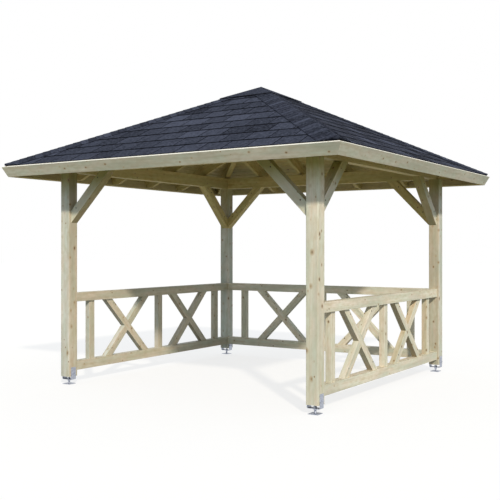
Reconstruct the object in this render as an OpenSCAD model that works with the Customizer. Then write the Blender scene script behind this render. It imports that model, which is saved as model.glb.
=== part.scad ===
// Garden gazebo: a square open timber frame under a four-sided shingled roof,
// with crossed-bar railings on three sides and adjustable steel feet.
// Origin on the ground at the middle of the plan, X along the open front, Y to the back.

/* [Frame] */
// Width of the square frame over the outer faces of the posts
frame_w = 3206; // [2600:2:4200]
// Height of the beams' undersides above the ground
headroom = 2330; // [2100:5:2600]
// Side of each square post
post_s = 126; // [100:1:150]
// Radius of the posts' eased edges
post_edge = 7; // [3:0.5:12]
// Radius of the eased edges on all other planed timbers
timber_edge = 3; // [1:0.5:6]

/* [Beams and braces] */
// Width of the beams and braces, flush with the inner faces of the posts
beam_w = 95; // [70:1:115]
// Depth of the beams
beam_h = 145; // [120:1:200]
// Depth of the knee braces across their slope
brace_w = 95; // [60:1:120]
// Length of post and of beam that each brace closes off
brace_leg = 555; // [400:1:700]

/* [Railings] */
// Height of the lower rail's underside
rail_low_z = 150; // [80:1:200]
// Height of the upper rail's top
rail_top_z = 1004; // [850:1:1200]
// Depth of the rails
rail_h = 97; // [70:1:120]
// Thickness of the rails, flush with the inner faces of the posts
rail_t = 104; // [70:1:115]
// Width of the uprights and crossed bars
bar_w = 82; // [45:1:95]
// Thickness of the uprights and crossed bars
bar_t = 62; // [35:1:65]
// Clear gap between each end upright and its post
end_gap = 212; // [100:1:300]
// Slope of the crossed bars
cross_angle = 45; // [40:0.5:55]

/* [Roof frame] */
// Slope of the roof
roof_pitch = 25.7; // [20:0.1:35]
// Depth of the rafters
rafter_h = 120; // [100:1:160]
// Thickness of the jack rafters
rafter_t = 45; // [35:1:70]
// Thickness of the hip rafters
hip_t = 70; // [50:1:95]
// Distance between the jack rafters of a side
rafter_spacing = 656; // [500:1:750]
// Length of the level seat that each rafter has on its beam
seat_l = 51; // [35:1:65]

/* [Roof skin] */
// Thickness of the roof boards
deck_t = 19; // [15:0.5:28]
// Reach of the eaves beyond the outer faces of the posts
eave_reach = 445; // [300:1:600]
// Depth of the fascia boards
fascia_h = 115; // [100:1:150]
// Thickness of the fascia boards
fascia_t = 28; // [18:0.5:35]
// Height of the rafter tails' level cut above the fascia's inner lower edge
tail_lift = 14; // [5:1:30]
// Length of shingle that shows in each course
course = 226; // [140:1:300]
// Thickness of a shingle course at its lower edge
shingle_butt = 7; // [4:0.5:12]
// Thickness of a shingle course where the next one covers it
shingle_head = 3; // [1:0.5:3.5]
// Width of a hip cap to each side of the hip, in plan
cap_wing = 148; // [90:1:200]
// Thickness of the hip caps and of the peak cap
cap_t = 4; // [2:0.5:8]
// Gap between the upper ends of neighbouring hip caps
cap_gap = 12; // [4:1:30]
// Half width of the square peak cap, in plan
peak_wing = 345; // [260:1:450]

/* [Feet] */
// Side of the square base plates
plate_s = 100; // [80:1:150]
// Thickness of the base plates
plate_t = 6; // [4:0.5:10]
// Diameter of the anchor holes in the base plates
anchor_d = 11; // [7:0.5:14]
// Distance between the anchor holes
anchor_pitch = 70; // [60:1:76]
// Diameter of the threaded rod
rod_d = 20; // [16:1:24]
// Width of the nuts across their flats
nut_af = 30; // [26:1:36]
// Thickness of the nuts
nut_h = 14; // [10:1:18]
// Height of the bracket's underside above the ground
bracket_z = 50; // [35:1:90]
// Width of the bracket's straps
strap_w = 70; // [50:1:90]
// Thickness of the bracket's metal
strap_t = 5; // [3:0.5:8]
// Radius inside the bracket's two bends
strap_bend = 8; // [4:1:15]
// Height of the bracket's straps from its underside
strap_h = 138; // [100:1:180]
// Gap left between the straps and the rails that are cut out for them
strap_fit = 0.5; // [0.2:0.1:2]
// Clear gap between the bracket's floor and the post
post_gap = 32; // [24:1:60]

/* [Hidden] */
$fn = 48;

spruce = [0.82, 0.79, 0.68];
bitumen = [0.25, 0.26, 0.32];
zinc = [0.62, 0.64, 0.66];

// Each side is turned from the right-hand one, whose outward direction is +X
right = 0;
back = 90;
left = 180;
front = 270;

// Each corner is given by the signs of its X and Y
front_left = [-1, -1];
front_right = [1, -1];
back_left = [-1, 1];
back_right = [1, 1];

// Amount by which cuts run past the faces they open
overrun = 10;

// Plan lines, as distances from the middle
inner = frame_w / 2 - post_s;
beam_out = inner + beam_w;
beam_mid = inner + beam_w / 2;
rail_mid = inner + rail_t / 2;
post_mid = frame_w / 2 - post_s / 2;
eave_r = frame_w / 2 + eave_reach;

// Heights
post_z = bracket_z + strap_t + post_gap;
plate_top = headroom + beam_h;
peak_z = plate_top + (beam_out - seat_l) * tan(roof_pitch) + (rafter_h + deck_t) / cos(roof_pitch);
eave_z = peak_z - eave_r * tan(roof_pitch);

// Railing lines
bay_low = rail_low_z + rail_h;
bay_high = rail_top_z - rail_h;
bay_h = bay_high - bay_low;
upright_mid = inner - end_gap - bar_w / 2;
cross_mid = upright_mid / 2;

// Bars that are cut to length at both ends start from this rough length
rough_l = bay_h / sin(cross_angle) + 2 * bar_w;

// Shingle courses from the eaves to the peak
course_count = ceil(eave_r / cos(roof_pitch) / course);

// Height of the roof at distance r from the middle, depth being square to the roof boards' top
function roof_z(r, depth) = peak_z - r * tan(roof_pitch) - depth / cos(roof_pitch);

// Point of the eaves' cross section, up the slope from the fascia's outer top edge and down into the roof
function eave_pt(along, depth) = [
    eave_r - along * cos(roof_pitch) - depth * sin(roof_pitch),
    eave_z + along * sin(roof_pitch) - depth * cos(roof_pitch)
];

module on_side(side) {
    rotate([0, 0, side]) children();
}

module on_corner(corner) {
    translate([corner.x * post_mid, corner.y * post_mid, 0]) children();
}

// Rectangle with rounded corners
module eased_rect(size, edge) {
    square([size.x - 2 * edge, size.y], center = true);
    square([size.x, size.y - 2 * edge], center = true);
    for (sx = [-1, 1], sy = [-1, 1]) {
        translate([sx * (size.x / 2 - edge), sy * (size.y / 2 - edge)]) circle(r = edge);
    }
}

// Planed timber standing on end about its own middle
module timber(length, size) {
    linear_extrude(length, center = true) eased_rect(size, timber_edge);
}

// Upright prism over one side's share of the plan, set back from both hips by clear
module side_wedge(clear) {
    tip = clear * sqrt(2);
    far = eave_r + overrun;
    linear_extrude(peak_z + overrun) polygon([[tip, 0], [far, far - tip], [far, tip - far]]);
}

// Eaves cross section run round one side and mitred at the hips
module eave_run(points) {
    intersection() {
        rotate([90, 0, 0]) linear_extrude(2 * eave_r, center = true) polygon(points);
        side_wedge(0);
    }
}

// Everything under a roof surface at the given depth, out to the given reach
module roof_block(depth, reach) {
    outline = [
        [-reach, headroom], [-reach, roof_z(reach, depth)], [0, roof_z(0, depth)],
        [reach, roof_z(reach, depth)], [reach, headroom]
    ];
    intersection_for(turn = [right, back]) {
        on_side(turn) rotate([90, 0, 0]) linear_extrude(2 * reach, center = true) polygon(outline);
    }
}

// Space for the rafters: under the boards, inside the fascias and above the tails' level cut
module rafter_space() {
    tail_depth = fascia_h - tail_lift / cos(roof_pitch);
    high = eave_pt(fascia_t, deck_t);
    low = eave_pt(fascia_t, tail_depth);
    outline = [
        [-low.x, low.y], [-high.x, high.y], [0, roof_z(0, deck_t)], high, low
    ];
    intersection_for(turn = [right, back]) {
        on_side(turn) rotate([90, 0, 0]) linear_extrude(2 * eave_r, center = true) polygon(outline);
    }
}

// Upright slab above the rafters' underside, its plan stretched for rafters that run on a diagonal
module rafter_slab(thick, stretch) {
    deep = deck_t + rafter_h;
    outline = [
        [0, roof_z(0, deep)], [eave_r * stretch, roof_z(eave_r, deep)],
        [eave_r * stretch, peak_z], [0, peak_z]
    ];
    rotate([90, 0, 0]) linear_extrude(thick, center = true) polygon(outline);
}

// Block inside the beams' outer faces that the rafters are cut to sit on
module seat_block() {
    translate([-beam_out, -beam_out, headroom]) cube([2 * beam_out, 2 * beam_out, beam_h]);
}

module post(corner) {
    color(spruce) on_corner(corner) translate([0, 0, post_z])
        linear_extrude(headroom - post_z) eased_rect([post_s, post_s], post_edge);
}

// Outline with its two lower corners rounded, standing on the middle of its lower edge
module tray_outline(width, height, corner_r) {
    translate([-width / 2, corner_r]) square([width, height - corner_r]);
    translate([corner_r - width / 2, 0]) square([width - 2 * corner_r, corner_r]);
    for (sx = [-1, 1]) translate([sx * (width / 2 - corner_r), corner_r]) circle(r = corner_r);
}

// Strap of steel bent to a U that is open to the front and back
module bracket() {
    translate([0, strap_w / 2, bracket_z]) rotate([90, 0, 0]) linear_extrude(strap_w) difference() {
        tray_outline(post_s + 2 * strap_t, strap_h, strap_bend + strap_t);
        translate([0, strap_t]) tray_outline(post_s, strap_h, strap_bend);
    }
}

// Base plate with anchor holes, threaded rod, two nuts and the bracket that clasps the post
module foot(corner) {
    rod_top = bracket_z + strap_t + nut_h + strap_t;
    color(zinc) on_corner(corner) {
        difference() {
            translate([-plate_s / 2, -plate_s / 2, 0]) cube([plate_s, plate_s, plate_t]);
            for (sx = [-1, 1], sy = [-1, 1]) {
                translate([sx * anchor_pitch / 2, sy * anchor_pitch / 2, -overrun])
                    cylinder(d = anchor_d, h = plate_t + 2 * overrun);
            }
        }
        cylinder(d = rod_d, h = rod_top);
        for (z = [bracket_z - nut_h, bracket_z + strap_t]) {
            translate([0, 0, z]) cylinder(d = nut_af / cos(30), h = nut_h, $fn = 6);
        }
        bracket();
    }
}

// Beam on two posts, with half its depth cut away at both ends for the beams that cross it
module beam(side, cut_z) {
    color(spruce) on_side(side) difference() {
        translate([beam_mid, 0, headroom + beam_h / 2]) rotate([90, 0, 0])
            timber(2 * beam_out, [beam_w, beam_h]);
        for (end = [0, 1]) mirror([0, end, 0]) translate([inner - overrun, inner, cut_z])
            cube([beam_w + 2 * overrun, beam_w + overrun, beam_h / 2]);
    }
}

module through_beam(side) {
    beam(side, headroom + beam_h / 2);
}

module cross_beam(side) {
    beam(side, headroom);
}

// Pair of knee braces at 45 degrees between the posts and the beam of one side
module braces(side) {
    offset_mid = brace_leg / 2 - brace_w / sqrt(8);
    color(spruce) on_side(side) for (end = [0, 1]) mirror([0, end, 0]) intersection() {
        translate([beam_mid, inner - offset_mid, headroom - offset_mid]) rotate([45, 0, 0])
            timber(2 * brace_leg, [beam_w, brace_w]);
        translate([inner, 0, 0]) cube([beam_w, inner, headroom]);
    }
}

// Rafter under a hip, its top backed to both slopes and its head mitred against the other hips
module hip(corner) {
    turn = atan2(corner.y, corner.x);
    color(spruce) difference() {
        intersection() {
            rafter_space();
            on_side(turn) rafter_slab(hip_t, sqrt(2));
            on_side(turn - 45) translate([0, 0, headroom - beam_h]) cube([eave_r, eave_r, peak_z]);
        }
        seat_block();
    }
}

// Common rafters of one side, cut against the hips at their heads and over the beam lower down
module jacks(side) {
    color(spruce) on_side(side) difference() {
        intersection() {
            rafter_space();
            side_wedge(hip_t / 2);
            for (place = [-3 / 2, -1 / 2, 1 / 2, 3 / 2]) {
                translate([0, place * rafter_spacing, 0]) rafter_slab(rafter_t, 1);
            }
        }
        seat_block();
    }
}

// Triangular field of roof boards on one side
module deck(side) {
    color(spruce) on_side(side) eave_run([
        eave_pt(fascia_t, 0), [0, roof_z(0, 0)], [0, roof_z(0, deck_t)], eave_pt(fascia_t, deck_t)
    ]);
}

// Shingle courses of one side, each thicker at its lower edge than where the next one covers it
module shingles(side) {
    top_line = [for (i = [0:course_count - 1]) each [
        eave_pt(fascia_t + i * course, -shingle_butt),
        eave_pt(fascia_t + (i + 1) * course, -shingle_head)
    ]];
    end = fascia_t + course_count * course;
    color(bitumen) on_side(side) eave_run(concat([eave_pt(fascia_t, 0)], top_line, [eave_pt(end, 0)]));
}

// Skin of the given thickness lying on a roof surface
module roof_skin(depth, thick, reach) {
    difference() {
        roof_block(depth - thick, reach);
        roof_block(depth, reach + overrun);
    }
}

// Strips of shingle folded over the four hips, from the eaves to just under the peak cap
module hip_caps() {
    reach = eave_pt(fascia_t, 0).x;
    color(bitumen) intersection() {
        roof_skin(-shingle_butt, cap_t, reach);
        for (corner = [front_left, front_right, back_left, back_right]) {
            on_side(atan2(corner.y, corner.x))
                translate([cap_wing + cap_gap, -cap_wing, 0]) cube([2 * eave_r, 2 * cap_wing, 2 * peak_z]);
        }
    }
}

// Square piece folded over the peak, covering the upper ends of the hip caps
module peak_cap() {
    color(bitumen) roof_skin(-shingle_butt - cap_t, cap_t, peak_wing);
}

// Fascia board of one side, square to the roof slope
module fascia(side) {
    color(spruce) on_side(side) eave_run([
        eave_pt(0, 0), eave_pt(fascia_t, 0), eave_pt(fascia_t, fascia_h), eave_pt(0, fascia_h)
    ]);
}

// Room that the brackets' straps take on both faces of the posts
module strap_room() {
    room = [post_s + 2 * (strap_t + strap_fit), strap_w + 2 * strap_fit, bracket_z + strap_h + strap_fit];
    for (corner = [back_left, back_right]) {
        on_corner(corner) translate([-room.x / 2, -room.y / 2, 0]) cube(room);
    }
}

// Lower and upper rail between two posts, the lower one cut out for the straps at the back posts
module rails(side) {
    color(spruce) difference() {
        on_side(side) for (z = [rail_low_z, bay_high]) {
            translate([rail_mid, 0, z + rail_h / 2]) rotate([90, 0, 0])
                timber(2 * inner, [rail_t, rail_h]);
        }
        strap_room();
    }
}

// Uprights between the rails, one in the middle and one near each post
module uprights(side) {
    color(spruce) on_side(side) for (place = [-1, 0, 1]) {
        translate([rail_mid, place * upright_mid, bay_low + bay_h / 2]) timber(bay_h, [bar_t, bar_w]);
    }
}

// Slanting bars of the two crosses, halved where the bars of the other slant pass
module cross_bars(side, slant, half) {
    lean = slant * (90 - cross_angle);
    color(spruce) on_side(side) for (place = [-1, 1]) intersection() {
        translate([rail_mid, place * cross_mid, bay_low + bay_h / 2]) difference() {
            rotate([lean, 0, 0]) timber(rough_l, [bar_t, bar_w]);
            rotate([-lean, 0, 0]) translate([half * bar_t / 2, 0, 0])
                cube([bar_t, bar_w, rough_l], center = true);
        }
        translate([inner - overrun, -inner, bay_low]) cube([rail_t + 2 * overrun, 2 * inner, bay_h]);
    }
}

module rising_bars(side) {
    cross_bars(side, -1, 1);
}

module falling_bars(side) {
    cross_bars(side, 1, -1);
}

post(front_left);  // post_front_left
post(front_right);  // post_front_right
post(back_left);  // post_back_left
post(back_right);  // post_back_right
foot(front_left);  // foot_front_left
foot(front_right);  // foot_front_right
foot(back_left);  // foot_back_left
foot(back_right);  // foot_back_right
through_beam(front);  // beam_front
cross_beam(right);  // beam_right
through_beam(back);  // beam_back
cross_beam(left);  // beam_left
braces(front);  // braces_front
braces(right);  // braces_right
braces(back);  // braces_back
braces(left);  // braces_left
hip(front_left);  // hip_front_left
hip(front_right);  // hip_front_right
hip(back_left);  // hip_back_left
hip(back_right);  // hip_back_right
jacks(front);  // jacks_front
jacks(right);  // jacks_right
jacks(back);  // jacks_back
jacks(left);  // jacks_left
deck(front);  // deck_front
deck(right);  // deck_right
deck(back);  // deck_back
deck(left);  // deck_left
shingles(front);  // shingles_front
shingles(right);  // shingles_right
shingles(back);  // shingles_back
shingles(left);  // shingles_left
hip_caps();
peak_cap();
fascia(front);  // fascia_front
fascia(right);  // fascia_right
fascia(back);  // fascia_back
fascia(left);  // fascia_left
rails(right);  // rails_right
rails(back);  // rails_back
rails(left);  // rails_left
uprights(right);  // uprights_right
uprights(back);  // uprights_back
uprights(left);  // uprights_left
rising_bars(right);  // rising_bars_right
rising_bars(back);  // rising_bars_back
rising_bars(left);  // rising_bars_left
falling_bars(right);  // falling_bars_right
falling_bars(back);  // falling_bars_back
falling_bars(left);  // falling_bars_left
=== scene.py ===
# %% [markdown]
# # A garden gazebo
# The gazebo is a square open shelter: four planed spruce posts on steel feet, a ring of beams with
# knee braces, railings with crossed bars on three sides, and a hipped roof of bitumen shingles.
# The frame holds every timber at its true size, so this lesson adds what makes it look real: wood
# grain, roof boards, single shingles, lapped hip caps, screws, a floor, light and a camera.

import math
import random

import bpy
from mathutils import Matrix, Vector


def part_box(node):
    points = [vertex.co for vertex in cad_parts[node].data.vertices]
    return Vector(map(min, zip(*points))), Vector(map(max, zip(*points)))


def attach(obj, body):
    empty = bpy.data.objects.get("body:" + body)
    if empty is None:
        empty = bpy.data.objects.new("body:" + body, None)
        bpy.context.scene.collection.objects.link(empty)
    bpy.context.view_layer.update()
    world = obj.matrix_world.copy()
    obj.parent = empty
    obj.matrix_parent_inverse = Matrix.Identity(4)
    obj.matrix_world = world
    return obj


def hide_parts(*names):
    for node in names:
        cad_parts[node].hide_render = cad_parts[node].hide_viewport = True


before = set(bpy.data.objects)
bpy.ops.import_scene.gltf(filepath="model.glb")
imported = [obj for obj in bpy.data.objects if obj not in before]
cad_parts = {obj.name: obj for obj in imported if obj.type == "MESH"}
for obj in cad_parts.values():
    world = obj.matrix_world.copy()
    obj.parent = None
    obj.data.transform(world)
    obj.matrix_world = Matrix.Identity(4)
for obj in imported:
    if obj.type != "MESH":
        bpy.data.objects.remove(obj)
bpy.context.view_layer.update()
MM = 0.001

# %% [markdown]
# ## Colours and nodes
# Colours are easiest to read as sRGB hex values, as on a paint chart, but the renderer mixes light in
# linear numbers, so one function turns the first into the second.
# Materials are built from nodes. They could be wired by hand in the shader editor, but a script is
# quicker to change. One small function adds a node and sets its properties, and another either sets an
# input or links it, so that each line of a material reads as one step.

# %% Helpers for colours and nodes


def linear(hex_text):
    """A colour such as #CFCBB2 as linear red, green and blue, with full alpha."""
    parts = [int(hex_text[i:i + 2], 16) / 255 for i in (1, 3, 5)]
    return [c / 12.92 if c <= 0.04045 else ((c + 0.055) / 1.055) ** 2.4 for c in parts] + [1.0]


def plug(node, inputs):
    """Set inputs of a node to values, or link them to sockets of other nodes."""
    for name, value in inputs.items():
        if isinstance(value, bpy.types.NodeSocket):
            node.id_data.links.new(value, node.inputs[name])
        else:
            node.inputs[name].default_value = value


def add_node(tree, kind, settings=None, inputs=None):
    """Add a node of a kind. Settings are its properties, and inputs are values or sockets to link."""
    node = tree.nodes.new("ShaderNode" + kind)
    for name, value in (settings or {}).items():
        setattr(node, name, value)
    plug(node, inputs or {})
    return node


print("pale spruce in linear light:", [round(c, 3) for c in linear("#CFCBB2")])

# %% [markdown]
# ## Directions on the frame
# The four sides are alike. Each could be measured by itself, but a place is worked out once, for a side
# that faces right, and then turned about the middle. On the roof a place is given by how far along the
# eave it is, how far up the slope from the fascia, and how high it stands off the boards. The roof's own
# measures come from the frame, so they follow it if it changes.

# %% Sides, corners and the roof's measures
SIDES = {"right": 0, "back": 90, "left": 180, "front": 270}
CORNERS = {"back_right": 45, "back_left": 135, "front_left": 225, "front_right": 315}
UP = Vector((0, 0, 1))

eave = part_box("deck_right")[1].x
eave_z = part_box("fascia_right")[1].z
peak_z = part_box("deck_right")[1].z
pitch = math.atan2(peak_z - eave_z, eave)
slope = eave / math.cos(pitch)
board_t = (eave_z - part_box("deck_right")[0].z) / math.cos(pitch)
butt = (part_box("shingles_right")[1].x - eave) / math.sin(pitch)


def outward(turn):
    """The level direction that a side, turned by so many degrees, faces."""
    return Vector((math.cos(math.radians(turn)), math.sin(math.radians(turn)), 0))


def sideways(turn):
    """The direction along a side, to the left of the way it faces."""
    return outward(turn + 90)


def on_roof(turn, along, up, lift):
    """A point on one slope of the roof."""
    reach = eave - up * math.cos(pitch) + lift * math.sin(pitch)
    height = eave_z + up * math.sin(pitch) + lift * math.cos(pitch)
    return outward(turn) * reach + sideways(turn) * along + UP * height


print("roof pitch %.1f degrees, slope %.3f m, boards %.1f mm, shingle butts %.1f mm"
      % (math.degrees(pitch), slope, board_t / MM, butt / MM))

# %% [markdown]
# ## Planed spruce: its colours
# The timbers are softwood, planed on four sides and left bare. To the eye that is pale cream early
# wood, thin tan lines of late wood, brown knots, and broad soft patches that have greyed. One set of
# colours would do for fresh wood, but sun and rain have changed each timber by where it stands, so
# there are four.

# %% Colours of the spruce
BLEACHED = {"cream": "#E1DED2", "tan": "#C5BA9E", "grey": "#B3B6A9"}  # full in the sun
WEATHERED = {"cream": "#D2D4CF", "tan": "#B8B29C", "grey": "#A7AEA6"}  # open to the weather, less sun
GREYED = {"cream": "#C4C3B6", "tan": "#ABA38C", "grey": "#9A9E91"}  # fascias, wet by every rain
SHELTERED = {"cream": "#CABC83", "tan": "#A6914E", "grey": "#9D925C"}  # under the roof, honey brown
print("spruce from", BLEACHED["cream"], "in the sun to", SHELTERED["tan"], "under the roof")

# %% [markdown]
# ## Planed spruce: its grain
# Year rings show on a planed face as lines along the timber that wander a little. A picture of wood
# could be wrapped on, but a pattern in space runs through the timber, so that faces and end grain agree.
# The place of a point is turned until its third number runs along the grain. Noise that is stretched
# that way gives the wander, the streaks and the patches, and a wave across the grain gives the rings.

# %% Places along the grain
UPRIGHT = 0.9  # a direction with more rise than this counts as upright


def grain_places(tree, along, mirrored):
    """The place of a point, and the same place turned along the grain.

    The place is mirrored for pairs of timbers that lean both ways."""
    place = add_node(tree, "TexCoord").outputs["Object"]
    if mirrored:
        place = add_node(tree, "VectorMath", {"operation": "ABSOLUTE"}, {0: place}).outputs[0]
    along = along.normalized()
    across = along.cross(UP if abs(along.z) < UPRIGHT else Vector((1, 0, 0))).normalized()
    axes = [add_node(tree, "VectorMath", {"operation": "DOT_PRODUCT"}, {0: place, 1: axis})
            for axis in (across, along.cross(across), along)]
    grain = add_node(tree, "CombineXYZ", None, {i: axes[i].outputs["Value"] for i in range(3)})
    return place, grain.outputs[0]


print("grain counts as upright over %.0f degrees" % math.degrees(math.asin(UPRIGHT)))

# %% Noises along the grain and year rings
RING = 10 * MM  # a year's growth is 2 to 4 mm; drawn coarser, or it would not show from this far
RING_ACROSS = Vector((0.8, 0.6, 0))  # aslant, so that two faces of a timber differ
RING_DRIFT = 5  # rings that a line crosses as it wanders
LATE_WOOD = -0.2  # height of the wave from which late wood begins
GRAIN = {  # mm across, through and along the grain, and the part of the noise that is kept
    "drift": ((140, 140, 1500), 0, 1),
    "streak": ((26, 26, 700), 0.42, 0.72),
    "patch": ((120, 120, 900), 0.4, 0.68),
    "tinge": ((60, 60, 260), 0.35, 0.65),
    "mottle": ((30, 30, 70), 0.3, 0.7),
}


def grain_noises(tree, grain):
    """Noises stretched along the grain, each spread to run from 0 to 1."""
    noises = {}
    for key, (size, low, high) in GRAIN.items():
        spot = add_node(tree, "VectorMath", {"operation": "DIVIDE"}, {0: grain, 1: Vector(size) * MM})
        noise = add_node(tree, "TexNoise", None, {"Vector": spot.outputs[0], "Scale": 1, "Detail": 3})
        spread = {"Value": noise.outputs[0], "From Min": low, "From Max": high}
        noises[key] = add_node(tree, "MapRange", None, spread).outputs[0]
    return noises


def year_rings(tree, grain, drift):
    """Where late wood is, from 0 to 1, as waves across the grain that the drift pushes aside."""
    across = RING_ACROSS * 2 * math.pi / RING
    phase = add_node(tree, "VectorMath", {"operation": "DOT_PRODUCT"}, {0: grain, 1: across})
    phase = add_node(tree, "Math", {"operation": "MULTIPLY_ADD"},
                     {0: drift, 1: RING_DRIFT * 2 * math.pi, 2: phase.outputs["Value"]})
    wave = add_node(tree, "Math", {"operation": "SINE"}, {0: phase.outputs[0]}).outputs[0]
    late = {"Value": wave, "From Min": LATE_WOOD, "From Max": 1}
    return add_node(tree, "MapRange", None, late).outputs[0]


print("a ring every %.0f mm, streaks %.0f mm long" % (RING / MM, GRAIN["streak"][0][2]))

# %% [markdown]
# ## Planed spruce: its knots
# Where a branch was cut, a dark oval shows with a tan rim. Knots could be drawn one by one, but Voronoi
# cells scatter points through the wood, and the colour of each cell gives its knot a size by chance.
# The distance is measured in metres across and along, so that knots stay nearly round.

# %% Knots
KNOT_CELL = Vector((52, 52, 230)) * MM  # one knot at most in each piece of wood of this size
KNOT_SHAPE = Vector((52, 52, 170)) * MM  # shorter than the cell, so knots are a little longer than wide
KNOT_SMALL, KNOT_USUAL = 3 * MM, 11 * MM  # radius of the smallest, and usual radius of the largest
KNOT_RINGS = (  # colour, the radii at which it starts and is full, and its share
    ("#A58C66", 1.9, 1, 0.7),
    ("#54402B", 1.05, 0.5, 0.85),
)


def knot_distance(tree, grain, largest):
    """How far the nearest knot is, in radii of that knot."""
    cell = add_node(tree, "VectorMath", {"operation": "DIVIDE"}, {0: grain, 1: KNOT_CELL}).outputs[0]
    scatter = add_node(tree, "TexVoronoi", None, {"Vector": cell, "Scale": 1}).outputs
    away = add_node(tree, "VectorMath", {"operation": "SUBTRACT"}, {0: cell, 1: scatter["Position"]})
    away = add_node(tree, "VectorMath", {"operation": "MULTIPLY"}, {0: away.outputs[0], 1: KNOT_SHAPE})
    away = add_node(tree, "VectorMath", {"operation": "LENGTH"}, {0: away.outputs[0]})
    chance = add_node(tree, "SeparateColor", None, {0: scatter["Color"]}).outputs[0]
    radius = add_node(tree, "MapRange", None, {"Value": chance, "To Min": KNOT_SMALL, "To Max": largest})
    return add_node(tree, "Math", {"operation": "DIVIDE"},
                    {0: away.outputs["Value"], 1: radius.outputs[0]}).outputs[0]


print("knots from %.0f to %.0f mm across" % (2 * KNOT_SMALL / MM, 2 * KNOT_USUAL / MM))

# %% [markdown]
# ## Planed spruce: weather tints and painted shade
# Inner faces take a tone of their own, faces that look up are drawn nearly white, and undersides and
# upper ends close under the eaves are painted in shade. Each could be a material of its own, but a face
# knows which way it looks and how high it is, so one material tints itself. Every tint is a pair: the
# share of it at a point, and its colour.

# %% Weather tints and painted shade
EAVES_PAINTED_SHADE = ("#C8C587", 2.06, 2.27)  # painted shade, olive, on upper ends close under the eaves, and its heights
BACK_PAINTED_SHADE = ("#DDD2A4", 1.65, 2.25)  # painted shade, paler and reaching lower, at the corner that stays in shade
TANNED = "#F6ECE0"  # tint of inner faces, which keep more of the wood's own tone
SOFFIT = "#F9E7A4"  # tint of the fascias' inner faces, which no rain or sun reaches
BRACE_UNDER_PAINTED_SHADE = "#CAC1A2"  # painted shade on the braces' undersides
BAR_UNDER_PAINTED_SHADE = "#CFCDC6"  # and paler painted shade on the crossed bars' undersides
LEVEL = Vector((1, 1, 0))  # takes the height out of a place
INWARD = (0.2, -0.2)  # how far a face looks out, where its tint begins and is full
DOWNWARD = (-0.3, -0.6)  # and how far it looks up, where painted shade on undersides is full and where it ends


def weather_and_shade_tints(tree, place, facing, skyward, painted_top_shade, inner, under):
    """Shares and colours of the tints and the painted shade of a timber."""
    tints = []
    if painted_top_shade:
        colour, low, high = painted_top_shade
        height = add_node(tree, "SeparateXYZ", None, {0: place}).outputs["Z"]
        tints.append((height, low, high, colour))
    if inner:
        level = add_node(tree, "VectorMath", {"operation": "MULTIPLY"}, {0: place, 1: LEVEL}).outputs[0]
        out = add_node(tree, "VectorMath", {"operation": "DOT_PRODUCT"}, {0: facing, 1: level})
        tints.append((out.outputs["Value"], *INWARD, inner))
    if under:
        tints.append((skyward, *DOWNWARD, under))
    return [(add_node(tree, "MapRange", None, {"Value": at, "From Min": low, "From Max": high}), colour)
            for at, low, high, colour in tints]


print("tints begin at", EAVES_PAINTED_SHADE[1], "m under the eaves and at", BACK_PAINTED_SHADE[1], "m at the back left")

# %% [markdown]
# ## Planed spruce: the material
# The parts above are put together in two functions. Each timber could be mixed by itself, but only the
# direction of the grain, the tints and the painted shade differ, so these are what the functions take.
# Lines and streaks take the wood from cream to tan, patches take it to grey, then come the tints, the
# painted shade, the nearly white tops and the knots. Bare wood has an IOR of about 1.53 and is dull, and
# its hard late wood is a little smoother.

# %% Colour of bare wood
# A Mix node of colours takes the share at input 0, the colours at 6 and 7, and gives output 2.
MIX = {"data_type": "RGBA"}
GLAZE = {"data_type": "RGBA", "blend_type": "MULTIPLY"}  # the second colour laid over the first
RING_SHARE, STREAK_SHARE, PATCH_SHARE = 0.22, 0.45, 0.6
MOTTLE_SPREAD, MOTTLE_LOW = 0.6, -0.2  # small uneven tones, which go both ways
TINGES = (linear("#FFF8F2"), linear("#F5FAF3"))  # faintly pink and faintly green, from place to place


def bare_wood(tree, noises, ring, colours, by_board):
    """The colour of spruce by its rings, streaks and patches, and by its board where that has a shade."""
    line = add_node(tree, "Math", {"operation": "MULTIPLY"}, {0: ring, 1: RING_SHARE}).outputs[0]
    line = add_node(tree, "Math", {"operation": "MULTIPLY_ADD"},
                    {0: noises["streak"], 1: STREAK_SHARE, 2: line}).outputs[0]
    mottle = add_node(tree, "Math", {"operation": "MULTIPLY_ADD"},
                      {0: noises["mottle"], 1: MOTTLE_SPREAD, 2: MOTTLE_LOW}).outputs[0]
    line = add_node(tree, "Math", {"operation": "ADD"}, {0: line, 1: mottle}).outputs[0]
    if by_board:
        shade = add_node(tree, "Attribute", {"attribute_name": "shade"}).outputs["Fac"]
        line = add_node(tree, "Math", {"operation": "ADD"}, {0: line, 1: shade}).outputs[0]
    cream, tan, grey = (linear(colours[key]) for key in ("cream", "tan", "grey"))
    wood = add_node(tree, "Mix", MIX, {0: line, 6: cream, 7: tan}).outputs[2]
    patch = add_node(tree, "Math", {"operation": "MULTIPLY"}, {0: noises["patch"], 1: PATCH_SHARE})
    wood = add_node(tree, "Mix", MIX, {0: patch.outputs[0], 6: wood, 7: grey}).outputs[2]
    tinge = add_node(tree, "Mix", MIX, {0: noises["tinge"], 6: TINGES[0], 7: TINGES[1]}).outputs[2]
    return add_node(tree, "Mix", GLAZE, {0: 1.0, 6: wood, 7: tinge}).outputs[2]


print("rings take up to %.0f percent of the tan, streaks %.0f" % (100 * RING_SHARE, 100 * STREAK_SHARE))

# %% Spruce material
PALE_TOP = "#F6F4EA"  # colour that faces looking up, such as the fascias' top edges, are drawn in
PALE_TOP_SHARE = 0.85
SKYWARD = (0.3, 0.8)  # how far a face looks up, where it begins to turn nearly white and where it fully is
SPRUCE_IOR = 1.53
SPRUCE_ROUGH = (0.74, 0.6)  # early and late wood
RING_BUMP, RING_RELIEF = 0.35, 0.6 * MM


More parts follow.
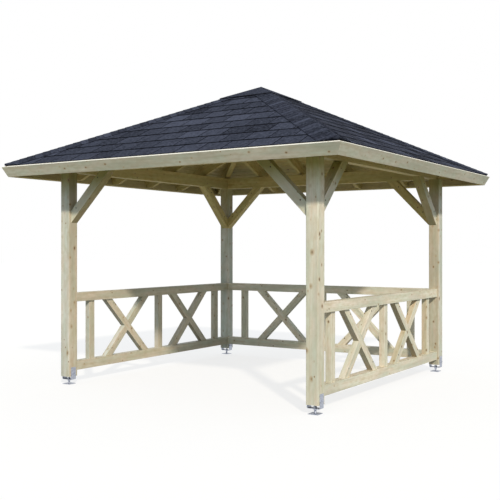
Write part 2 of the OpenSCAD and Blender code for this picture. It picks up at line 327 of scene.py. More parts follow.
def planed_spruce(name, along, colours=BLEACHED, knots=KNOT_USUAL, painted_top_shade=None, inner=None, under=None,
                  mirrored=False, by_board=False, pale_top=False):
    """Spruce with its grain along a direction."""
    material = bpy.data.materials.new("planed_spruce_" + name)
    material.use_nodes = True
    tree = material.node_tree
    place, grain = grain_places(tree, along, mirrored)
    noises = grain_noises(tree, grain)
    ring = year_rings(tree, grain, noises["drift"])
    wood = bare_wood(tree, noises, ring, colours, by_board)

    facing = add_node(tree, "NewGeometry").outputs["Normal"]
    skyward = add_node(tree, "SeparateXYZ", None, {0: facing}).outputs["Z"]
    for share, colour in weather_and_shade_tints(tree, place, facing, skyward, painted_top_shade, inner, under):
        tint = {0: share.outputs[0], 6: wood, 7: linear(colour)}
        wood = add_node(tree, "Mix", GLAZE, tint).outputs[2]
    if pale_top:
        low, high = SKYWARD
        pale = add_node(tree, "MapRange", None,
                        {"Value": skyward, "From Min": low, "From Max": high, "To Max": PALE_TOP_SHARE})
        wood = add_node(tree, "Mix", MIX, {0: pale.outputs[0], 6: wood, 7: linear(PALE_TOP)}).outputs[2]
    away = knot_distance(tree, grain, knots)
    for colour, start, full, share in KNOT_RINGS:
        near = add_node(tree, "MapRange", None,
                        {"Value": away, "From Min": start, "From Max": full, "To Max": share})
        wood = add_node(tree, "Mix", MIX, {0: near.outputs[0], 6: wood, 7: linear(colour)}).outputs[2]

    early, late = SPRUCE_ROUGH
    rough = add_node(tree, "MapRange", None, {"Value": ring, "To Min": early, "To Max": late})
    bump = add_node(tree, "Bump", None,
                    {"Strength": RING_BUMP, "Distance": RING_RELIEF, "Height": ring})
    plug(tree.nodes["Principled BSDF"],
         {"Base Color": wood, "Roughness": rough.outputs[0], "Normal": bump.outputs[0], "IOR": SPRUCE_IOR})
    return material


print("early wood has a roughness of %.2f, late wood of %.2f" % SPRUCE_ROUGH)

# %% [markdown]
# ## Posts
# The four posts are sawn from the heart of the tree, so their knots are the largest. Their shape is in
# the frame already. One material could serve all four, but the front right post stands in the sun all
# day and the back left one in the shade, so each gets its own tone. Their upper ends are painted in
# shade under the eaves, paler and reaching lower at the back left.

# %% Grain of the posts
POST_KNOT = 16 * MM


def dress(material, *names):
    """Put a material on nodes of the frame."""
    for name in names:
        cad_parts[name].data.materials.clear()
        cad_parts[name].data.materials.append(material)


for corner in CORNERS:
    # painted shade on the upper ends under the eaves
    painted_top_shade = BACK_PAINTED_SHADE if corner == "back_left" else EAVES_PAINTED_SHADE
    tone = BLEACHED if corner == "front_right" else WEATHERED
    inner = None if corner == "back_left" else TANNED
    dress(planed_spruce("post_" + corner, UP, tone, POST_KNOT, painted_top_shade, inner), "post_" + corner)
print("spruce on", len(CORNERS), "posts")

# %% [markdown]
# ## Beams, braces, rafters and fascias
# Grain runs along each timber: level in beams and fascias, down the slope in rafters, and at 45
# degrees in the knee braces. The two braces of a side lean opposite ways. They could be given two
# materials, but mirrored coordinates let one serve both. What lies under the roof keeps its honey brown.

# %% Grain of the roof's timbers
FASCIA_KNOT = 9 * MM
for side, turn in SIDES.items():
    # the fascias' top faces are drawn nearly white
    fascia = planed_spruce("fascia_" + side, sideways(turn), GREYED, FASCIA_KNOT, inner=SOFFIT,
                           pale_top=True)
    dress(fascia, "fascia_" + side)
    dress(planed_spruce("beam_" + side, sideways(turn), SHELTERED), "beam_" + side)
    lean = UP - Vector([abs(c) for c in sideways(turn)])
    if side in ("front", "right"):
        # the front and right braces get painted shade at their upper ends and on their undersides
        brace = planed_spruce("brace_" + side, lean, painted_top_shade=EAVES_PAINTED_SHADE, under=BRACE_UNDER_PAINTED_SHADE, mirrored=True)
    else:
        brace = planed_spruce("brace_" + side, lean, SHELTERED, mirrored=True)
    dress(brace, "braces_" + side)
    fall = outward(turn) * math.cos(pitch) - UP * math.sin(pitch)
    dress(planed_spruce("jack_" + side, fall, SHELTERED), "jacks_" + side)
for corner, turn in CORNERS.items():
    hip_fall = outward(turn) - UP * math.tan(pitch) / math.sqrt(2)
    dress(planed_spruce("hip_" + corner, hip_fall, SHELTERED), "hip_" + corner)
print(len(bpy.data.materials), "materials so far")

# %% [markdown]
# ## Railings
# Three sides have a railing: two rails, three uprights and two crosses of halved bars. All of a railing
# could share one material, but then the grain of most pieces would run across them. So rails, uprights,
# and the bars that rise and fall each get spruce with the grain along them.

# %% Grain of the railings
RAILINGS = ("right", "back", "left")
for side in RAILINGS:
    level = sideways(SIDES[side])
    inner = None if side == "back" else TANNED
    tone = WEATHERED if side == "left" else BLEACHED
    dress(planed_spruce("rail_" + side, level, tone, inner=inner), "rails_" + side)
    dress(planed_spruce("upright_" + side, UP, tone, inner=inner), "uprights_" + side)
    for name, lean in (("rising", UP + level), ("falling", UP - level)):
        # painted shade on the bars' undersides
        bars = planed_spruce(name + "_" + side, lean, tone, inner=inner, under=BAR_UNDER_PAINTED_SHADE)
        dress(bars, name + "_bars_" + side)
print(len(bpy.data.materials), "materials so far")

# %% [markdown]
# ## Making a piece
# Each new piece is a mesh. Blender's own shapes could be placed and cut, but a list of points and faces
# says exactly what is made. A piece rides on the frame's one body and may stand for plain solids of the
# frame, which are then hidden. Numbers kept on the points, such as a shingle's shade, can be read by its
# material. Most pieces are prisms, so a second helper adds one.

# %% Helpers that make pieces


def make_piece(name, points, faces, material, slot, replaces=(), **numbers):
    """Make a piece of the gazebo; the numbers are lists with one value for each point."""
    mesh = bpy.data.meshes.new(name)
    mesh.from_pydata(points, [], faces)
    for key, values in numbers.items():
        mesh.attributes.new(key, "FLOAT", "POINT").data.foreach_set("value", values)
    mesh.materials.append(material)
    piece = bpy.data.objects.new(name, mesh)
    bpy.context.scene.collection.objects.link(piece)
    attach(piece, "root")
    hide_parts(*replaces)
    print(name, len(points), "points", len(faces), "faces")


def add_prism(points, faces, bottom, top):
    """Add a closed prism between two outlines that run the same way round, seen from the top."""
    first, count = len(points), len(bottom)
    points += bottom + top
    faces.append([first + count - 1 - i for i in range(count)])
    faces.append([first + count + i for i in range(count)])
    for i in range(count):
        j = (i + 1) % count
        faces.append([first + i, first + j, first + count + j, first + count + i])


print("pieces will join", len(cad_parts), "nodes of the frame")

# %% [markdown]
# ## Roof boards
# Seen from inside, the roof is closed by narrow boards that run level across the rafters. Their lower
# edges are chamfered, so every joint shows as a V. A line in the material could mark the joints, but a
# real V catches light from all sides, so each board is a prism with that section, mitred over the hips.
# One mesh holds a slope's boards. Each keeps its own shade, because boards from several trees lie side
# by side.

# %% Roof boards
BOARDS = 24
BOARD = slope / BOARDS
CHAMFER = 4 * MM
BOARD_GAP = 0.8 * MM
BOARD_SHADE = 0.35
chooser = random.Random(7)
for side, turn in SIDES.items():
    boards = planed_spruce("board_" + side, sideways(turn), SHELTERED, by_board=True)
    points, faces, shade = [], [], []
    for i in range(BOARDS):
        low, high = i * BOARD, (i + 1) * BOARD - BOARD_GAP
        section = [(low, 0), (low, CHAMFER - board_t), (low + CHAMFER, -board_t),
                   (high - CHAMFER, -board_t), (high, CHAMFER - board_t), (high, 0)]
        ends = [[], []]
        for up, lift in section:
            half = eave - up * math.cos(pitch) + lift * math.sin(pitch)
            ends[0].append(on_roof(turn, -half, up, lift))
            ends[1].append(on_roof(turn, half, up, lift))
        add_prism(points, faces, ends[0], ends[1])
        shade += [chooser.uniform(0, BOARD_SHADE)] * (2 * len(section))
    make_piece("roof_boards_" + side, points, faces, boards, "planed_spruce", ["deck_" + side],
               shade=shade)

# %% [markdown]
# ## Bitumen shingles
# Shingles are roofing felt soaked in bitumen and rolled in crushed slate. To the eye that is a dull,
# dark blue grey, a little lighter from tab to tab, with a fine speckle and a dark band of shade under
# each lap. A picture of a roof could be used, but it would repeat. So noise gives the speckle, and the
# shade of a tab and the height within its course come from numbers on the points. Bitumen has an IOR of
# about 1.5.

# %% Bitumen shingle material
GRANULE = 24 * MM  # granules are 1 to 2 mm; drawn coarser so that the speckle shows
GRANULE_BUMP, GRANULE_RELIEF = 0.6, 1 * MM
SPECKLE_SPREAD = 1.6
BLOOM = 90 * MM  # soft patches where the granules have faded
BLOOM_SPREAD = 0.4
BAND = 30 * MM  # width of the shade under a lap
BAND_SHARE = 0.95
SHINGLE_DARK = "#191C25"
SHINGLE_LIGHT = "#474C5C"
SHINGLE_BAND = "#090A0E"
SHINGLE_IOR = 1.5
SHINGLE_GLOSS = 0.03  # loose granules shade each other and hardly shine
SHINGLE_ROUGH = (0.98, 0.82)

shingle = bpy.data.materials.new("bitumen_shingle")
shingle.use_nodes = True
tree = shingle.node_tree
place = add_node(tree, "TexCoord").outputs["Object"]
speckle = add_node(tree, "TexNoise", None, {"Vector": place, "Scale": 1 / GRANULE, "Detail": 2}).outputs[0]
bloom = add_node(tree, "TexNoise", None, {"Vector": place, "Scale": 1 / BLOOM, "Detail": 3}).outputs[0]
light = add_node(tree, "Attribute", {"attribute_name": "shade"}).outputs["Fac"]
for noise, spread in ((speckle, SPECKLE_SPREAD), (bloom, BLOOM_SPREAD)):
    evened = add_node(tree, "Math", {"operation": "MULTIPLY_ADD"}, {0: noise, 1: spread, 2: -spread / 2})
    light = add_node(tree, "Math", {"operation": "ADD"}, {0: evened.outputs[0], 1: light}).outputs[0]
stone = add_node(tree, "Mix", MIX,
                 {0: light, 6: linear(SHINGLE_DARK), 7: linear(SHINGLE_LIGHT)}).outputs[2]
rise = add_node(tree, "Attribute", {"attribute_name": "rise"}).outputs["Fac"]
band = add_node(tree, "MapRange", None,
                {"Value": rise, "From Min": -BAND, "From Max": 0, "To Max": BAND_SHARE}).outputs[0]
stone = add_node(tree, "Mix", MIX, {0: band, 6: stone, 7: linear(SHINGLE_BAND)}).outputs[2]
low, high = SHINGLE_ROUGH
rough = add_node(tree, "MapRange", None, {"Value": speckle, "To Min": low, "To Max": high})
bump = add_node(tree, "Bump", None,
                {"Strength": GRANULE_BUMP, "Distance": GRANULE_RELIEF, "Height": speckle})
plug(tree.nodes["Principled BSDF"],
     {"Base Color": stone, "Roughness": rough.outputs[0], "Normal": bump.outputs[0],
      "IOR": SHINGLE_IOR, "Specular IOR Level": SHINGLE_GLOSS})
print("shingle material has", len(tree.nodes), "nodes")

# %% [markdown]
# ## Shingle tabs
# Felt strips are cut into tabs, and each course is laid half a tab aside from the one below. Grooves in
# one sheet would look alike from afar, but the steps of the courses show along the hips, so each tab is
# made: a thin wedge whose butt stands on the course below and whose head runs under the course above.
# Tabs that meet a hip are cut along it. A sheet of underlay closes the slots between tabs.

# %% Helpers for tabs


def cut(outline, room):
    """Cut a convex outline to the part where room(point) is positive."""
    kept = []
    for a, b in zip(outline, outline[1:] + outline[:1]):
        at_a, at_b = room(a), room(b)
        if at_a >= 0:
            kept.append(a)
        if at_a * at_b < 0:
            share = at_a / (at_a - at_b)
            kept.append((a[0] + share * (b[0] - a[0]), a[1] + share * (b[1] - a[1])))
    return kept


def half_width(up):
    """Half the width of a slope at some way up it."""
    return eave - up * math.cos(pitch)


print("half a slope's width at its middle: %.3f m" % half_width(slope / 2))

# %% Measures and shades of the tabs
COURSE = 226 * MM
COURSE_DRIFT = 3 * MM  # how far a tab's edge strays
TAB = 269 * MM
TAB_T = 2.6 * MM
TAB_TILT = 1 * MM
SLOT = 10 * MM
HEAD = 3 * MM  # lift of a tab's surface where the next course begins
HEAD_LAP = 24 * MM
UNDERLAY = (0.2 * MM, 1.2 * MM)
FIRST_JOINT = 13 * MM
JOINT_DRIFT = 0.05  # of a tab
TAB_TONE, TONE_SPREAD = 0.36, 0.14  # from 0, the dark colour, to 1, the light one
TONE_LOW, TONE_HIGH = 0.1, 0.75
DUST = 0.17  # the lowest course is paler by this, save on the right, where rain keeps it clean
CLEAN = -0.03
LIGHT_TABS = {(5, -0.45), (4, -0.09), (4, -0.36), (4, 0.44), (2, 0.16)}  # course, place along the front
FRONT_LIGHT, OTHER_LIGHT = 0.85, 0.8
LIGHT_CHANCE = 0.06  # on the other slopes
courses = math.ceil(slope / COURSE)
print(courses, "courses of %.0f mm with tabs of %.0f mm" % (COURSE / MM, TAB / MM))

# %% Shingle tabs
for side, turn in SIDES.items():
    chooser = random.Random("shingles " + side)
    points, faces = [], []
    sheet = [(-eave, 0), (eave, 0), (0, slope)]
    add_prism(points, faces, *[[on_roof(turn, *p, lift) for p in sheet] for lift in UNDERLAY])
    shade, rise = [0] * len(points), [0] * len(points)
    for row in range(courses):
        joint = FIRST_JOINT + (row % 2) * TAB / 2 + chooser.uniform(-JOINT_DRIFT, JOINT_DRIFT) * TAB
        reach = math.ceil((eave + TAB) / TAB)
        for k in range(-reach, reach):
            start = row * COURSE + chooser.uniform(0, COURSE_DRIFT)
            left = joint + k * TAB + SLOT / 2
            right = joint + (k + 1) * TAB - SLOT / 2
            tone = min(max(chooser.gauss(TAB_TONE, TONE_SPREAD), TONE_LOW), TONE_HIGH)
            tone += CLEAN if side == "right" else DUST * (1 - row * COURSE / slope)
            if side == "front" and any(r == row and left < x < right for r, x in LIGHT_TABS):
                tone = FRONT_LIGHT
            elif side != "front" and chooser.random() < LIGHT_CHANCE:
                tone = OTHER_LIGHT
            tilt = chooser.uniform(-TAB_TILT, TAB_TILT)
            top = min((row + 1) * COURSE + HEAD_LAP, slope)
            outline = [(left, start), (right, start), (right, top), (left, top)]
            outline = cut(outline, lambda p: half_width(p[1]) - p[0])
            outline = cut(outline, lambda p: half_width(p[1]) + p[0])
            if len(outline) < 3:
                continue
            lifts = [butt + tilt * (a - left) / TAB - (butt - HEAD) * (up - row * COURSE) / COURSE
                     for a, up in outline]
            add_prism(points, faces,
                      [on_roof(turn, a, up, lift - TAB_T) for (a, up), lift in zip(outline, lifts)],
                      [on_roof(turn, a, up, lift) for (a, up), lift in zip(outline, lifts)])
            shade += [tone] * (2 * len(outline))
            rise += [1] * len(outline) + [up - (row + 1) * COURSE for a, up in outline]
    make_piece("shingle_tabs_" + side, points, faces, shingle, "bitumen_shingle", ["shingles_" + side],
               shade=shade, rise=rise)

# %% [markdown]
# ## Hip caps
# The four hips are closed by short pieces of the same felt, folded over the edge and laid from the eave
# up, each lapping the one below. Seen against the sky the laps make a fine saw edge. One long strip with
# a pattern would lose that edge, so each cap is a folded strip with a soft crease, and its lower end
# stands on the cap before it.

# %% Places on a hip
hip_tilt = math.atan(math.tan(pitch) / math.sqrt(2))
peak_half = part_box("peak_cap")[1].x


def on_hip(turn, down, wing, lift):
    """A point beside a hip: down it from the peak in plan, out on a wing, and off the boards."""
    height = peak_z - math.tan(pitch) * (down + abs(wing)) / math.sqrt(2)
    spot = outward(turn) * down + sideways(turn) * wing + UP * height
    if wing == 0:
        return spot + UP * lift / math.cos(pitch)
    face = outward(turn + math.copysign(45, wing))
    return spot + (face * math.sin(pitch) + UP * math.cos(pitch)) * lift


print("hips fall at %.1f degrees" % math.degrees(hip_tilt))

# %% Measures and shades of the caps
CAP_T = 3 * MM
CAP_WING = 148 * MM
CAP_STEP = 86 * MM  # part of a cap that shows
CAP_HIDDEN = 14 * MM  # part that the next cap covers
CAP_UNDER_PEAK = 60 * MM
CAP_OVERHANG = 5 * MM
CAP_TRIM = 2 * MM
CAP_BULGE = 17 * MM  # the fold stands up most at the eave, where the felt is doubled
CAP_DOUBLED = 0.7  # share of that rise which the lowest cap, laid double, fills
CAP_BAND = 12 * MM  # width of the shade at a lap
CAP_SHADOW = -5 * MM  # the shade is full only this far under the lap, so what shows of it is faint
CAP_TONE, CAP_SPREAD = 0.41, 0.1
CAP_LOW, CAP_HIGH = 0.15, 0.65
CAP_LIGHTER = 0.2  # every third cap comes from a lighter strip
CREASE = ((0, 3.5), (7, 2), (20, 0.4), (70, 0))  # mm out on a wing, mm by which the fold is rounded
profile = [(-CAP_WING, 0)] + [(-w * MM, drop * MM) for w, drop in reversed(CREASE[1:])]
profile += [(w * MM, drop * MM) for w, drop in CREASE] + [(CAP_WING, 0)]
cap_step = CAP_STEP * math.cos(hip_tilt)
corner_down = eave * math.sqrt(2) + CAP_OVERHANG
caps_up = math.ceil((corner_down - (peak_half - CAP_UNDER_PEAK) * math.sqrt(2)) / cap_step)
print(caps_up, "caps on each hip")

# %% Hip caps
points, faces, shade, rise = [], [], [], []
chooser = random.Random("caps")
for turn in CORNERS.values():
    for i in range(caps_up):
        low = corner_down - i * cap_step
        tone = min(max(chooser.gauss(CAP_TONE, CAP_SPREAD), CAP_LOW), CAP_HIGH)
        tone += CAP_LIGHTER if i % 3 == 1 else 0
        first, n = len(points), len(profile)
        for layer in (0, 1):
            for back in (0, cap_step + CAP_HIDDEN):
                for wing, drop in profile:
                    down = low - back - abs(wing) * math.sin(hip_tilt) ** 2
                    down = min(down, corner_down - abs(wing) - CAP_TRIM)
                    bulge = CAP_BULGE * (1 - abs(wing) / CAP_WING) * down / corner_down
                    lift = butt + 2 * CAP_T - CAP_T * back / cap_step + bulge - drop
                    lift -= layer * (CAP_T + (CAP_DOUBLED * bulge if i == 0 else 0))
                    points.append(on_hip(turn, down, wing, lift))
                    shade.append(tone)
                    rise.append((back - cap_step + CAP_SHADOW) * BAND / CAP_BAND)
        for j in range(n - 1):
            a, b = first + j, first + j + 1
            faces.append([a, b, b + n, a + n])
            faces.append([a + 3 * n, b + 3 * n, b + 2 * n, a + 2 * n])
            faces.append([a + 2 * n, b + 2 * n, b, a])
            faces.append([a + n, b + n, b + 3 * n, a + 3 * n])
        for end in (0, n - 1):
            wall = [first + end, first + n + end, first + 3 * n + end, first + 2 * n + end]
            faces.append(wall if end == 0 else wall[::-1])
make_piece("lapped_hip_caps", points, faces, shingle, "bitumen_shingle", ["hip_caps"],
           shade=shade, rise=rise)

# %% [markdown]
# ## Peak cap
# A square of felt closes the peak where the four hips meet. A smooth cone could stand there, but felt
# folds, so the square is creased on both diagonals. Its rim lies on the hip caps and stands clear of the
# shingles, and its edge below the rim is painted in shade, so a dark line shows under it.

# %% Peak cap
PEAK_T = 4 * MM
PEAK_SKIRT = 16 * MM  # height of the edge under the rim, painted in shade
PEAK_RIM = 5.5 * MM  # how far the rim stands above the caps that it lies on
CAPS_BELOW = 2.6  # thickness of those caps, in felts
PEAK_TONE = 0.38
IN_LIGHT, IN_SHADE = -1, 1  # heights that the shingle material reads as clear of its band, and in it
rim_lift = butt + CAPS_BELOW * CAP_T + PEAK_RIM
top_lift = butt + PEAK_T / 2


def peak_rim(lift):
    """The four corners of the rim, at some lift off the boards."""
    height = peak_z - math.tan(pitch) * peak_half + lift / math.cos(pitch)
    return [outward(turn) * peak_half * math.sqrt(2) + UP * height for turn in sorted(CORNERS.values())]


# The tip comes first, then the rims of the top, of the skirt's two edges and of the underside, with four
# corners each, and the tip of the underside last.
points = [UP * (peak_z + top_lift / math.cos(pitch))]
for lift in (rim_lift, rim_lift, rim_lift - PEAK_SKIRT, rim_lift - PEAK_SKIRT):
    points += peak_rim(lift)
points.append(UP * (peak_z + (top_lift - PEAK_T) / math.cos(pitch)))
tip_below = len(points) - 1
faces = []
for i in range(4):
    a, b = 1 + i, 1 + (i + 1) % 4
    faces += [[0, a, b], [tip_below, b + 12, a + 12], [a + 4, a + 8, b + 8, b + 4]]
make_piece("folded_peak_cap", points, faces, shingle, "bitumen_shingle", ["peak_cap"],
           shade=[PEAK_TONE] * len(points), rise=[IN_LIGHT] * 5 + [IN_SHADE] * (len(points) - 5))

# %% [markdown]
# ## Galvanised steel
# The feet were dipped in molten zinc after welding. Zinc freezes in flat crystals, the spangle, each a
# slightly different grey, and weathers to a dull blue grey. Plain noise would look like dirt, so Voronoi
# cells give the crystals, and their random colour changes both the tint and how sharply each one mirrors
# the light. It is a metal, so it keeps the default IOR.

# %% Galvanised steel
SPANGLE = 12 * MM
SPANGLE_BUMP, SPANGLE_RELIEF = 0.15, 0.3 * MM
DULL = 30 * MM  # soft patches of weathered zinc
ZINC_DARK = "#A2A9B6"
ZINC_LIGHT = "#D6D8E2"
ZINC_ROUGH = (0.38, 0.58)

zinc = bpy.data.materials.new("galvanised_steel")
zinc.use_nodes = True
tree = zinc.node_tree
place = add_node(tree, "TexCoord").outputs["Object"]
crystals = add_node(tree, "TexVoronoi", None, {"Vector": place, "Scale": 1 / SPANGLE}).outputs["Color"]
crystal = add_node(tree, "SeparateColor", None, {0: crystals}).outputs[0]
dull = add_node(tree, "TexNoise", None, {"Vector": place, "Scale": 1 / DULL, "Detail": 4}).outputs[0]
tint = add_node(tree, "Math", {"operation": "MULTIPLY"}, {0: crystal, 1: dull}).outputs[0]
tint = add_node(tree, "Mix", MIX, {0: tint, 6: linear(ZINC_DARK), 7: linear(ZINC_LIGHT)}).outputs[2]
low, high = ZINC_ROUGH
rough = add_node(tree, "MapRange", None, {"Value": crystal, "To Min": low, "To Max": high})
bump = add_node(tree, "Bump", None,
                {"Strength": SPANGLE_BUMP, "Distance": SPANGLE_RELIEF, "Height": crystal})
plug(tree.nodes["Principled BSDF"],
     {"Base Color": tint, "Roughness": rough.outputs[0], "Normal": bump.outputs[0], "Metallic": 1.0})
dress(zinc, *["foot_" + corner for corner in CORNERS])
print("zinc material has", len(tree.nodes), "nodes")

# %% [markdown]
# ## Phosphated steel
# Timber screws are dipped in a phosphate bath that turns steel nearly black and dull, and the driver
# wears it bright in places. To the eye that is a small dark dot with a soft grey glint. One plain dark
# colour could do, but would look like a hole, so a little noise lets the steel show through. A metal
# keeps the default IOR.

# %% Phosphated steel
SCREW_DARK = "#2B2926"
SCREW_WORN = "#6A655C"
SCREW_ROUGH = (0.7, 0.45)  # coated and worn
WORN = 5 * MM

screw_steel = bpy.data.materials.new("phosphated_steel")
screw_steel.use_nodes = True
tree = screw_steel.node_tree
place = add_node(tree, "TexCoord").outputs["Object"]
worn = add_node(tree, "TexNoise", None, {"Vector": place, "Scale": 1 / WORN, "Detail": 3}).outputs[0]
tint = add_node(tree, "Mix", MIX, {0: worn, 6: linear(SCREW_DARK), 7: linear(SCREW_WORN)}).outputs[2]
low, high = SCREW_ROUGH
rough = add_node(tree, "MapRange", None, {"Value": worn, "To Min": low, "To Max": high})
plug(tree.nodes["Principled BSDF"],
     {"Base Color": tint, "Roughness": rough.outputs[0], "Metallic": 1.0})
print("screw steel has", len(tree.nodes), "nodes")

# %% [markdown]
# ## Screw heads on the braces
# Each knee brace is held by a wide-headed screw near both ends. Heads could be modelled one by one, but
# a short profile turned about an axis, as on a lathe, gives screws, washers and threads alike, and with
# six sides it gives hexagons. The places come from the frame's own braces.

# %% A screw head and the helper that turns it
SCREW_HEAD = [(r * MM, h * MM) for r, h in ((7, 0), (7, 1.2), (5.5, 2), (2.6, 2), (2.2, 0.6))]
SCREW_SIDES = 14


def add_turned(points, faces, spot, axis, profile, sides):
    """Turn a profile of radius and height about an axis at a spot, and close its last ring."""
    first = len(points)
    across = axis.orthogonal().normalized()
    beside = axis.cross(across)
    for radius, height in profile:
        for i in range(sides):
            angle = 2 * math.pi * i / sides
            spoke = across * math.cos(angle) + beside * math.sin(angle)
            points.append(spot + axis * height + spoke * radius)
    for ring in range(len(profile) - 1):
        for i in range(sides):
            a, b = first + ring * sides + i, first + ring * sides + (i + 1) % sides
            faces.append([a, b, b + sides, a + sides])
    faces.append([first + (len(profile) - 1) * sides + i for i in range(sides)])


print("a screw head is %.0f mm wide, with %d sides" % (2 * SCREW_HEAD[0][0] / MM, SCREW_SIDES))

# %% Screw heads on the braces
BRACE_SCREW = 120 * MM  # from the brace's ends
BRACE_ASIDE = 15 * MM
brace_low, brace_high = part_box("braces_right")
brace_in, brace_out = brace_low.x, brace_high.x
post_face, brace_foot, beam_under = brace_high.y, brace_low.z, brace_high.z
half_cut = (brace_out - brace_in) / math.sqrt(2)
points, faces = [], []
for turn in SIDES.values():
    for end in (-1, 1):
        start = sideways(turn) * post_face * end + UP * (brace_foot + half_cut)
        lean = (UP - sideways(turn) * end).normalized()
        aside = (UP + sideways(turn) * end).normalized() * BRACE_ASIDE
        run = (beam_under - brace_foot - half_cut) * math.sqrt(2)
        for reach in (BRACE_SCREW, run - BRACE_SCREW):
            for face, facing in ((brace_in, -1), (brace_out, 1)):
                add_turned(points, faces, start + lean * reach + aside + outward(turn) * face,
                           outward(turn) * facing, SCREW_HEAD, SCREW_SIDES)
make_piece("brace_screws", points, faces, screw_steel, "galvanised_steel")

# %% [markdown]
# ## Screw heads on the crossed bars
# The crossed bars of the railings are screwed through near both ends, too. Copies of one screw could be
# laid along each bar by a modifier, but the same turned profile in a loop keeps all of them in one mesh.

# %% Screw heads on the crossed bars
BAR_W = 82 * MM  # width of uprights and bars in the frame
BAR_SCREW = 68 * MM  # from the bars' ends, measured upright
BAR_ASIDE = 25 * MM
bar_low, bar_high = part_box("rising_bars_right")
bay = bar_high.z - bar_low.z
cross_mid = (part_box("uprights_right")[1].y - BAR_W / 2) / 2
points, faces = [], []
for side in RAILINGS:
    turn = SIDES[side]
    for middle in (-cross_mid, cross_mid):
        for slant in (-1, 1):
            lean = sideways(turn) * slant + UP
            aside = (UP - sideways(turn) * slant).normalized() * BAR_ASIDE
            centre = sideways(turn) * middle + UP * (bar_low.z + bay / 2) + aside
            for reach in (BAR_SCREW - bay / 2, bay / 2 - BAR_SCREW):
                for face, facing in ((bar_low.x, -1), (bar_high.x, 1)):
                    add_turned(points, faces, centre + lean * reach + outward(turn) * face,
                               outward(turn) * facing, SCREW_HEAD, SCREW_SIDES)
make_piece("bar_screws", points, faces, screw_steel, "galvanised_steel")

# %% [markdown]
# ## Coach screws on the brackets
# The straps of each foot are held to the post by two hexagon-headed coach screws on washers, on both
# sides. They could be cut from a bought model, but the turned profile makes them in two steps: a round
# washer with many sides, and a head with six.

# %% Coach screws on the brackets
COACH_HEAD = [(r * MM, h * MM) for r, h in ((9.8, 2), (9.8, 8), (8.6, 9))]
WASHER = [(r * MM, h * MM) for r, h in ((13, 0), (13, 2), (9, 2.1))]
WASHER_SIDES, HEXAGON = 20, 6
COACH_APART = 36 * MM
COACH_UP = 122 * MM
points, faces = [], []
for corner in CORNERS:
    low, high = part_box("foot_" + corner)
    for face, facing in ((low.x, -1), (high.x, 1)):
        for aside in (-COACH_APART / 2, COACH_APART / 2):
            spot = Vector((face, (low.y + high.y) / 2 + aside, COACH_UP))
            axis = Vector((facing, 0, 0))
            add_turned(points, faces, spot, axis, WASHER, WASHER_SIDES)
            add_turned(points, faces, spot, axis, COACH_HEAD, HEXAGON)
make_piece("coach_screws", points, faces, zinc, "galvanised_steel")

# %% [markdown]
# ## Threads on the rods
# A threaded rod lets each foot be set level. A true thread is one long spiral, but at this size rings look
# the same and need far fewer faces, so a sawtooth profile is turned about the rod between plate and nut.

# %% Threads on the rods
ROD_R = 10 * MM
ROD_SIDES = 24
THREAD = 2.5 * MM
THREAD_CREST, THREAD_ROOT = 0.8 * MM, 0.1 * MM
THREAD_LOW, THREAD_HIGH = 8 * MM, 34 * MM
turns = round((THREAD_HIGH - THREAD_LOW) / THREAD)
ridges = [(ROD_R + (THREAD_CREST if i % 2 else THREAD_ROOT), i * THREAD / 2)
          for i in range(2 * turns + 1)]
points, faces = [], []
for corner in CORNERS:
    low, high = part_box("foot_" + corner)
    middle = (low + high) / 2
    add_turned(points, faces, Vector((middle.x, middle.y, THREAD_LOW)), UP, ridges, ROD_SIDES)
make_piece("rod_threads", points, faces, zinc, "galvanised_steel")

# %% [markdown]
# ## The floor
# The floor is a plain pale sheet that keeps the gazebo's shadow. A white one could do both jobs, but it
# would throw too much light up under the roof. So what the camera sees and what the light meets are
# kept apart: the camera sees nearly white, while the light that bounces up meets a duller ground.

# %% Floor
FLOOR_HALF = 60  # m
FLOOR_PALE = "#FBFAF6"
FLOOR_ROUGH = 0.9
FLOOR_TURF = "#95958A"  # what the light that bounces up meets, as dull as a lawn
FLOOR_PAD = "#DEDDD8"  # and paler, as a paved pad is, under the roof
PAD_IN, PAD_OUT = 1.2, 1.9  # m from the middle, between which the pad fades
FLOOR_WHITE = 0.78  # share of plain white in the floor that the camera sees; the rest takes the shadow
WHITE = {"Color": linear("#FFFFFF"), "Strength": 1}  # a plain white light

floor_corners = [(x * FLOOR_HALF, y * FLOOR_HALF, 0) for x, y in ((-1, -1), (1, -1), (1, 1), (-1, 1))]
floor_mesh = bpy.data.meshes.new("floor")
floor_mesh.from_pydata(floor_corners, [], [(0, 1, 2, 3)])
floor = bpy.data.objects.new("floor", floor_mesh)
bpy.context.scene.collection.objects.link(floor)

paving = bpy.data.materials.new("pale_floor")
paving.use_nodes = True
tree = paving.node_tree
shader = tree.nodes["Principled BSDF"]
plug(shader, {"Base Color": linear(FLOOR_PALE), "Roughness": FLOOR_ROUGH})
place = add_node(tree, "TexCoord").outputs["Object"]
far = add_node(tree, "VectorMath", {"operation": "LENGTH"}, {0: place}).outputs["Value"]
far = add_node(tree, "MapRange", None, {"Value": far, "From Min": PAD_IN, "From Max": PAD_OUT}).outputs[0]
ground = add_node(tree, "Mix", MIX, {0: far, 6: linear(FLOOR_PAD), 7: linear(FLOOR_TURF)}).outputs[2]
turf = add_node(tree, "BsdfDiffuse", None, {"Color": ground}).outputs[0]
white = add_node(tree, "Emission", None, WHITE).outputs[0]
shown = add_node(tree, "MixShader", None, {0: FLOOR_WHITE, 1: shader.outputs[0], 2: white}).outputs[0]
ray = add_node(tree, "LightPath").outputs
mixed = add_node(tree, "MixShader", None, {0: ray["Is Camera Ray"], 1: turf, 2: shown}).outputs[0]
mixed = add_node(tree, "MixShader", None, {0: ray["Is Glossy Ray"], 1: mixed, 2: white}).outputs[0]
plug(tree.nodes["Material Output"], {"Surface": mixed})
floor_mesh.materials.append(paving)
print("floor material has", len(tree.nodes), "nodes")

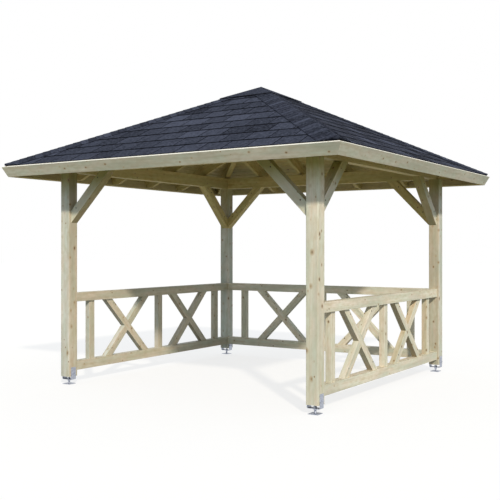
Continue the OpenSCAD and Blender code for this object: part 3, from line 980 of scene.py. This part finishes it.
# %% [markdown]
# ## The light
# Daylight comes from the front right, over the viewer's right shoulder. Several lamps could copy it, but
# one wide sun gives shadows that agree, and a pale sky fills the shade from all round. What the camera and
# the metal see beyond the floor is plain white, apart from the light that falls on the wood.

# %% Sky and sun
SKY = "#DCE9F6"
SKY_LEVEL = 0.74
SUN_FROM = Vector((1.02, -1.01, 0.95))
SUN_LEVEL = 3.15
SUN_WIDTH = 3  # degrees
SUN_COLOUR = "#FFF4E4"

world = bpy.data.worlds.new("pale_sky")
world.use_nodes = True
bpy.context.scene.world = world
tree = world.node_tree
sky = tree.nodes["Background"]
plug(sky, {"Color": linear(SKY), "Strength": SKY_LEVEL})
ray = add_node(tree, "LightPath").outputs
seen = add_node(tree, "Math", {"operation": "MAXIMUM"},
                {0: ray["Is Camera Ray"], 1: ray["Is Glossy Ray"]}).outputs[0]
white = add_node(tree, "Background", None, WHITE).outputs[0]
mixed = add_node(tree, "MixShader", None, {0: seen, 1: sky.outputs[0], 2: white}).outputs[0]
plug(tree.nodes["World Output"], {"Surface": mixed})

sun = bpy.data.objects.new("sun", bpy.data.lights.new("sun", "SUN"))
sun.data.energy = SUN_LEVEL
sun.data.color = linear(SUN_COLOUR)[:3]
sun.data.angle = math.radians(SUN_WIDTH)
sun.rotation_euler = SUN_FROM.to_track_quat("Z", "Y").to_euler()
bpy.context.scene.collection.objects.link(sun)
bpy.context.scene.view_settings.view_transform = "Standard"
print("sun from", tuple(SUN_FROM), "level", SUN_LEVEL)

# %% [markdown]
# ## The camera
# The photograph's camera was level, about eye height, and stood in front of the open side a little to
# the right. It could be turned by eye, but fitting the corners of posts, rails and eaves gives the place
# and the lens more closely.

# %% Camera
CAMERA_AT = Vector((5.095, -8.144, 1.503))
CAMERA_TURN = 0.5725  # radians
LENS, SENSOR = 59.573, 36  # mm
CROP = -0.0047  # the picture was cut a little nearer to the horizon at its top than at its foot

camera = bpy.data.objects.new("camera", bpy.data.cameras.new("camera"))
camera.location = CAMERA_AT
camera.rotation_euler = (math.pi / 2, 0, CAMERA_TURN)
camera.data.lens = LENS
camera.data.sensor_width = SENSOR
camera.data.shift_y = CROP
bpy.context.scene.collection.objects.link(camera)
bpy.context.scene.camera = camera
print("camera at", tuple(CAMERA_AT))
